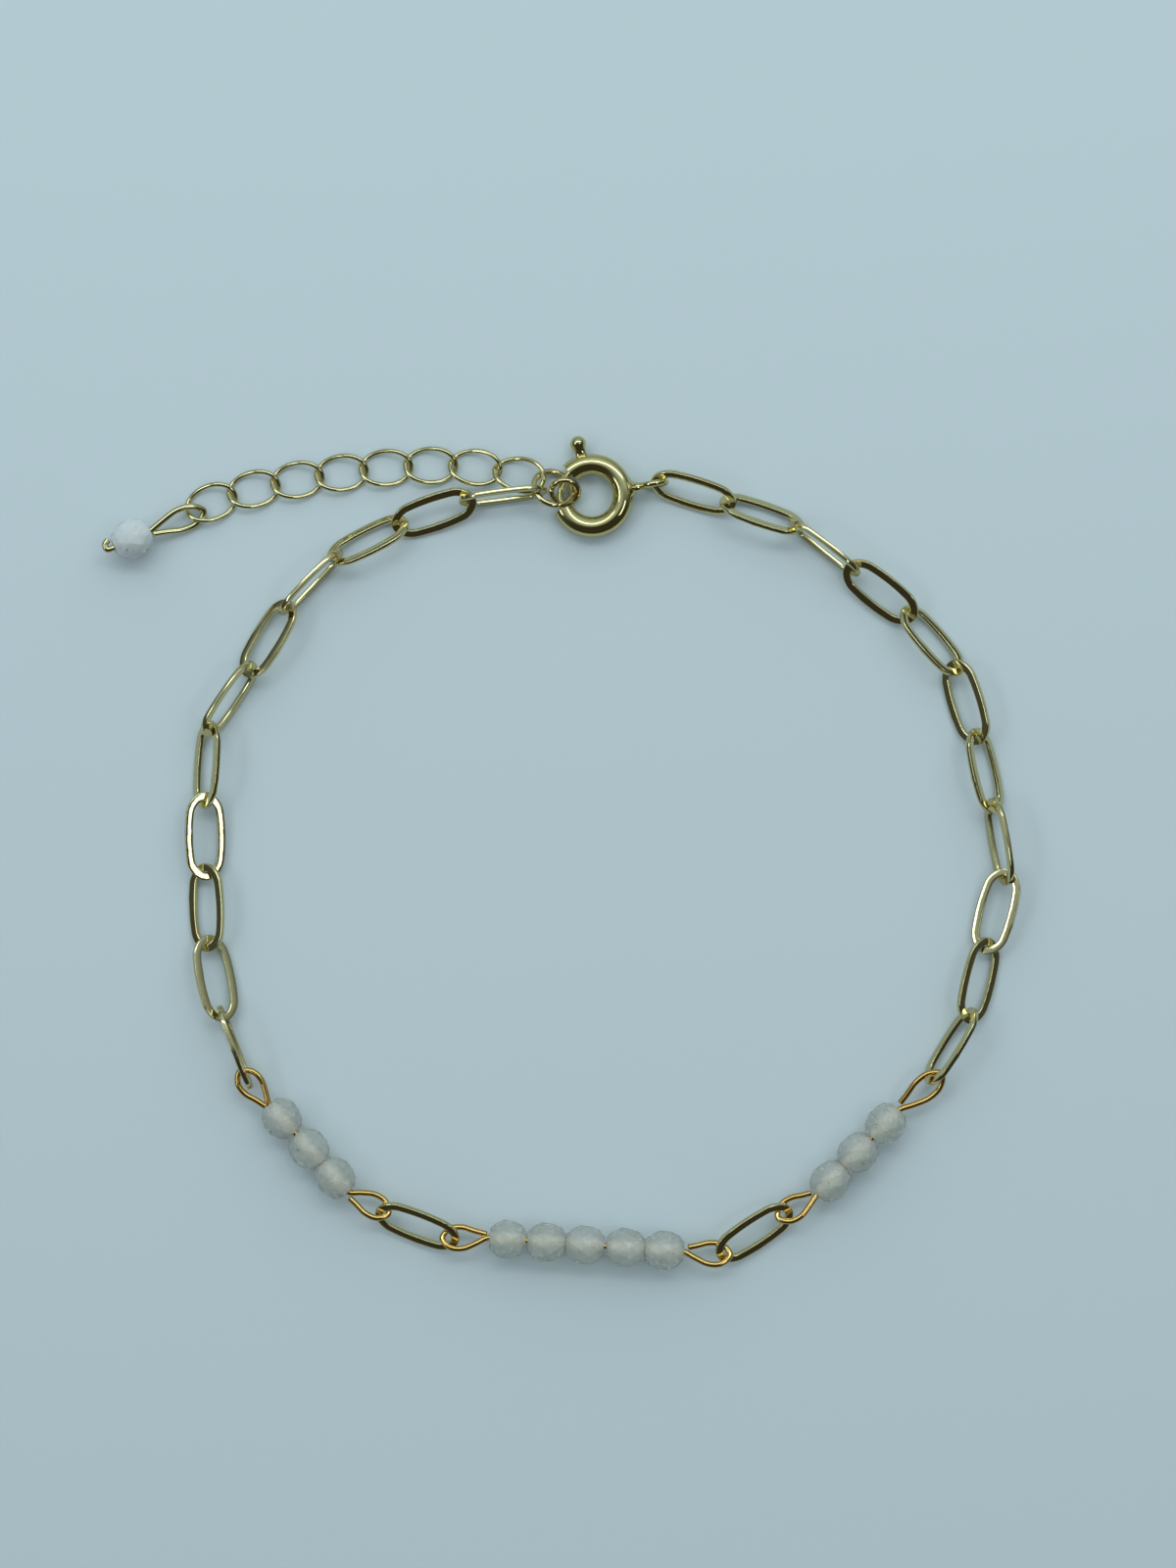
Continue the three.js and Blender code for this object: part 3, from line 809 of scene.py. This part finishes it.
PIN_WIRE = 0.45 * MM
END_PIN_WIRE = 0.48 * MM
EYE_WIDTH = 2.15 * MM
BEAD_SPACING = 2.94 * MM
BEAD_LENGTH = 2.87 * MM
STRAIGHT_INSET = 0.6 * MM
WIRE_STEPS = 9
WARM_GOLD = (0.93, 0.62, 0.20, 1)
WARM_GOLD_WORN = (0.80, 0.46, 0.13, 1)

warm_gold = plated("warm_gold_plating", WARM_GOLD, WARM_GOLD_WORN, ripple=0.25, gloss=0.04)

EYE_SHAPE = (
    {"along": 0.26, "aside": 0.5},
    {"along": 0.55, "aside": 0.95},
    {"along": 0.82, "aside": 0.83},
    {"along": 1, "aside": 0},
    {"along": 0.82, "aside": -0.83},
    {"along": 0.55, "aside": -0.95},
    {"along": 0.28, "aside": -0.62},
)
FREE_END = {"apart": {"along": 0.1, "aside": -0.42}, "close": {"along": 0.03, "aside": -0.36}}
BARS = (
    {
        "name": "left",
        "first": {"length": 3.5, "bend": 0, "roll": 0, "flip": -1, "free": "close"},
        "last": {"length": 3.65, "bend": 20, "roll": -20, "flip": 1, "free": "apart"},
    },
    {
        "name": "front",
        "first": {"length": 3.6, "bend": 4, "roll": 20, "flip": 1, "free": "close"},
        "last": {"length": 3.7, "bend": 0, "roll": -20, "flip": -1, "free": "apart"},
    },
    {
        "name": "right",
        "first": {"length": 3.6, "bend": -16, "roll": 22, "flip": 1, "free": "apart"},
        "last": {"length": 4.4, "bend": -6, "roll": 10, "flip": -1, "free": "apart"},
    },
)
END_EYE = {"length": 4.5, "bend": -5, "roll": 26, "flip": 1, "free": "close"}
TAIL_SHAPE = (
    {"out": 0.24, "aside": 0.68},
    {"out": 0.56, "aside": 0.46},
    {"out": 0.56, "aside": 0.08},
    {"out": 0.2, "aside": 0},
)


def eased(points, steps):
    """A smooth line through points, its speed set by the root of their spacing."""
    padded = [points[0] * 2 - points[1]] + list(points) + [points[-1] * 2 - points[-2]]
    line = []
    for i in range(1, len(padded) - 2):
        p = padded[i - 1 : i + 3]
        knots = [0.0]
        for a, b in zip(p, p[1:]):
            knots.append(knots[-1] + math.sqrt((b - a).length))
        for step in range(steps):
            t = knots[1] + (knots[2] - knots[1]) * step / steps
            level = p
            for reach in (1, 2, 3):
                blended = []
                for k in range(len(level) - 1):
                    if reach == 3:
                        low, high = knots[1], knots[2]
                    else:
                        low, high = knots[k], knots[k + reach]
                    share = (t - low) / (high - low)
                    blended.append(level[k].lerp(level[k + 1], share))
                level = blended
            line.append(level[0])
    line.append(padded[-2])
    return line


def eye_points(eye, wire, start, direction):
    """An eye at one end of a bar, out along X, rolled about its own axis and then bent aside."""
    reach = eye["length"] * MM - wire / 2
    half_width = (EYE_WIDTH - wire) / 2
    turn = Matrix.Rotation(math.radians(eye["bend"]), 3, "Z")
    turn = turn @ Matrix.Rotation(math.radians(eye["roll"]), 3, "X")
    about = Matrix.Rotation(0 if direction > 0 else math.pi, 3, "Z")
    points = []
    for row in (*EYE_SHAPE, FREE_END[eye["free"]]):
        at = turn @ Vector((reach * row["along"], half_width * row["aside"] * eye["flip"], 0))
        points.append(about @ (at + Vector((start, 0, 0))))
    return points


def carried(line):
    """Up directions carried along a line without twisting about it."""
    up = Vector((0, 0, 1))
    ups = []
    for i in range(len(line)):
        along = (line[min(i + 1, len(line) - 1)] - line[max(i - 1, 0)]).normalized()
        up = (up - along * up.dot(along)).normalized()
        ups.append(up)
    return ups


def bent_wire(name, points, wire, lie, material, node):
    """A round wire bent along the points and laid in its place."""
    line = eased(points, WIRE_STEPS)
    mesh = mesh_of(name, *open_wire(line, carried(line), round_section(wire)))
    mesh.transform(lie)
    put_on(node + "_wire", mesh, material, "bracelet", node)


def bar_lie(row):
    """A bar's middle and its direction, from its first bead to its last."""
    beads = [node for node in nodes if node.startswith(row["name"] + "_bead_")]
    first = lie_of(beads[0]).translation
    last = lie_of(beads[-1]).translation
    along = (last - first).normalized()
    up = Vector((0, 0, 1))
    lie = Matrix((along, up.cross(along), up)).transposed().to_4x4()
    lie.translation = (first + last) / 2
    return lie, len(beads)


for row in BARS:
    lie, beads = bar_lie(row)
    end = beads * BEAD_SPACING / 2
    straight = [Vector((x, 0, 0)) for x in (-end, -end + STRAIGHT_INSET, end - STRAIGHT_INSET, end)]
    first = eye_points(row["first"], PIN_WIRE, end, -1)
    last = eye_points(row["last"], PIN_WIRE, end, 1)
    node = row["name"] + "_pin"
    bent_wire(node + "_bent", first[::-1] + straight + last, PIN_WIRE, lie, warm_gold, node)

END_STRAIGHT_INSET = 0.3 * MM
END_EYE_START = 0.1 * MM

end_lie = lie_of("end_bead")
side = end_lie.col[0].xyz
side = side if side.x > 0 else -side
level = Vector((0, 0, 1)).cross(side).normalized()
end_lie = Matrix((side, level, side.cross(level))).transposed().to_4x4()
end_lie.translation = lie_of("end_bead").translation
half = BEAD_LENGTH / 2
eye_start = half + END_EYE_START
inside = half - END_STRAIGHT_INSET
tail = [Vector((-half - row["out"] * MM, row["aside"] * MM, 0)) for row in TAIL_SHAPE]
straight = [Vector((x, 0, 0)) for x in (-inside, inside, eye_start)]
bent_wire(
    "end_pin_bent",
    tail + straight + eye_points(END_EYE, END_PIN_WIRE, eye_start, 1),
    END_PIN_WIRE,
    end_lie,
    pale_gold,
    "end_pin",
)


# The surface that it lies on: a wide, plain and pale board, rough enough to mirror nothing.
# In the gold it is painted darker than to the eye: painted shade that stands for the shade close beside a
# wire.

FLOOR_COLOUR = (0.62, 0.69, 0.71, 1)
# Painted shade: the board's colour where the gold mirrors it, darker to stand for the shade beside a wire
FLOOR_PAINTED_SHADE_IN_GOLD = (0.40, 0.44, 0.44, 1)
FLOOR_SIZE = 4.0


def in_gold(tree):
    """1 where a ray has been mirrored by metal, 0 where it lights, is seen or passes through stone."""
    rays = add_node(tree, "ShaderNodeLightPath").outputs
    ends = {0: rays["Is Glossy Ray"], 1: rays["Is Transmission Ray"]}
    return add_node(tree, "ShaderNodeMath", ends, operation="SUBTRACT", use_clamp=True).outputs["Value"]


floor_mesh = bpy.data.meshes.new("floor")
reach = FLOOR_SIZE / 2
floor_mesh.from_pydata(
    [(-reach, -reach, 0), (reach, -reach, 0), (reach, reach, 0), (-reach, reach, 0)], [], [(0, 1, 2, 3)]
)
floor = bpy.data.objects.new("floor", floor_mesh)
bpy.context.scene.collection.objects.link(floor)
floor_material = bpy.data.materials.new("floor")
floor_material.use_nodes = True
tree = floor_material.node_tree
floor_shader = tree.nodes["Principled BSDF"]
# Painted shade: the board turns to its darker colour in rays that the gold has mirrored
blend = {"Factor": in_gold(tree), "A": FLOOR_COLOUR, "B": FLOOR_PAINTED_SHADE_IN_GOLD}
floor_colour = add_node(tree, "ShaderNodeMix", blend, data_type="RGBA")
tree.links.new(floor_colour.outputs["Result"], floor_shader.inputs["Base Color"])
floor_shader.inputs["Roughness"].default_value = 0.9
floor_shader.inputs["Specular IOR Level"].default_value = 0.1
floor_mesh.materials.append(floor_material)


# Soft light from the clasp's side: long windows that the gold shows as bright lines, a small lamp,
# and a wide, low sky that only the board and the stones see.

LIGHT_COLOUR = (0.86, 1.0, 1.06)
LIGHTS = (
    {"name": "window", "at": (0.0, 0.36, 0.60), "size": (0.90, 0.11), "watts": 0.78, "mirrored": True},
    {"name": "side", "at": (-0.50, -0.02, 0.55), "size": (0.40, 0.12), "watts": 0.37, "mirrored": True},
    {"name": "lamp", "at": (0.263, -0.078, 0.50), "size": (0.16, 0.10), "watts": 0.12, "mirrored": True},
    {"name": "sky", "at": (0.0, 0.24, 0.20), "size": (0.70, 0.34), "watts": 0.62, "mirrored": False},
)
for row in LIGHTS:
    light = bpy.data.lights.new(row["name"], "AREA")
    light.shape = "RECTANGLE"
    light.size, light.size_y = row["size"]
    light.energy = row["watts"]
    light.color = LIGHT_COLOUR
    lamp = bpy.data.objects.new(row["name"], light)
    lamp.location = row["at"]
    lamp.visible_glossy = row["mirrored"]
    lamp.rotation_euler = (-Vector(row["at"])).to_track_quat("-Z", "Y").to_euler()
    bpy.context.scene.collection.objects.link(lamp)


# The room around it. The gold mirrors it bright above and towards the clasp, dim at the sides, and
# darkest towards the wearer. Board and stones are lit by an even, softer grade of it, and a low
# view shows it plain behind the board.

ROOM_BRIGHT = (0.46, 0.54, 0.57, 1)
ROOM_DIM = (0.05, 0.055, 0.05, 1)
BRIGHT_TOWARDS = (0.0, 0.5, 0.866)
ROOM_SHADED = (0.03, 0.027, 0.02, 1)
SHADED_TOWARDS = (0.198, -0.740, 0.643)
ROOM_SEEN = (0.42, 0.50, 0.53, 1)
SOFT_LIGHT = (0.38, 0.44, 0.465, 1)
SOFT_SHADE = (0.17, 0.20, 0.21, 1)
SOFT_TOWARDS = (0.0, 0.6, 0.8)

world = bpy.data.worlds.new("room")
bpy.context.scene.world = world
world.use_nodes = True
tree = world.node_tree
towards = add_node(tree, "ShaderNodeTexCoord").outputs["Generated"]


def mixed(share, first, second):
    """A colour between two others."""
    blend = {"Factor": share, "A": first, "B": second}
    return add_node(tree, "ShaderNodeMix", blend, data_type="RGBA").outputs["Result"]


def graded(aim, low, high, first, second):
    """A colour that changes from first to second as the direction nears the aim."""
    facing = add_node(tree, "ShaderNodeVectorMath", {0: towards, 1: aim}, operation="DOT_PRODUCT")
    span = {"Value": facing.outputs["Value"], "From Min": low, "From Max": high}
    return mixed(add_node(tree, "ShaderNodeMapRange", span).outputs["Result"], first, second)


bright = graded(BRIGHT_TOWARDS, 0.4, 1.0, ROOM_DIM, ROOM_BRIGHT)
mirrored = graded(SHADED_TOWARDS, 0.47, 0.74, bright, ROOM_SHADED)
soft = graded(SOFT_TOWARDS, -0.4, 0.9, SOFT_SHADE, SOFT_LIGHT)
seen = add_node(tree, "ShaderNodeLightPath").outputs["Is Camera Ray"]
backdrop = mixed(seen, mixed(in_gold(tree), soft, mirrored), ROOM_SEEN)
tree.links.new(backdrop, tree.nodes["Background"].inputs["Color"])


# The camera, straight above the loop as the photograph's was, at the photograph's scale and
# framing 1200 by 1600 pixels.

PIXELS_PER_MM = 13.6
FRAME_HEIGHT_PIXELS = 1600
CAMERA_HEIGHT = 0.28
CAMERA_OVER = (2.0 * MM, 5.18 * MM)
SENSOR = 24.0

camera_data = bpy.data.cameras.new("camera")
camera_data.sensor_fit = "VERTICAL"
camera_data.sensor_height = SENSOR
camera_data.lens = SENSOR * CAMERA_HEIGHT / (FRAME_HEIGHT_PIXELS / PIXELS_PER_MM * MM)
camera_data.clip_start = 0.01
camera = bpy.data.objects.new("camera", camera_data)
camera.location = (*CAMERA_OVER, CAMERA_HEIGHT)
bpy.context.scene.collection.objects.link(camera)
bpy.context.scene.camera = camera
bpy.context.scene.view_settings.view_transform = "Standard"
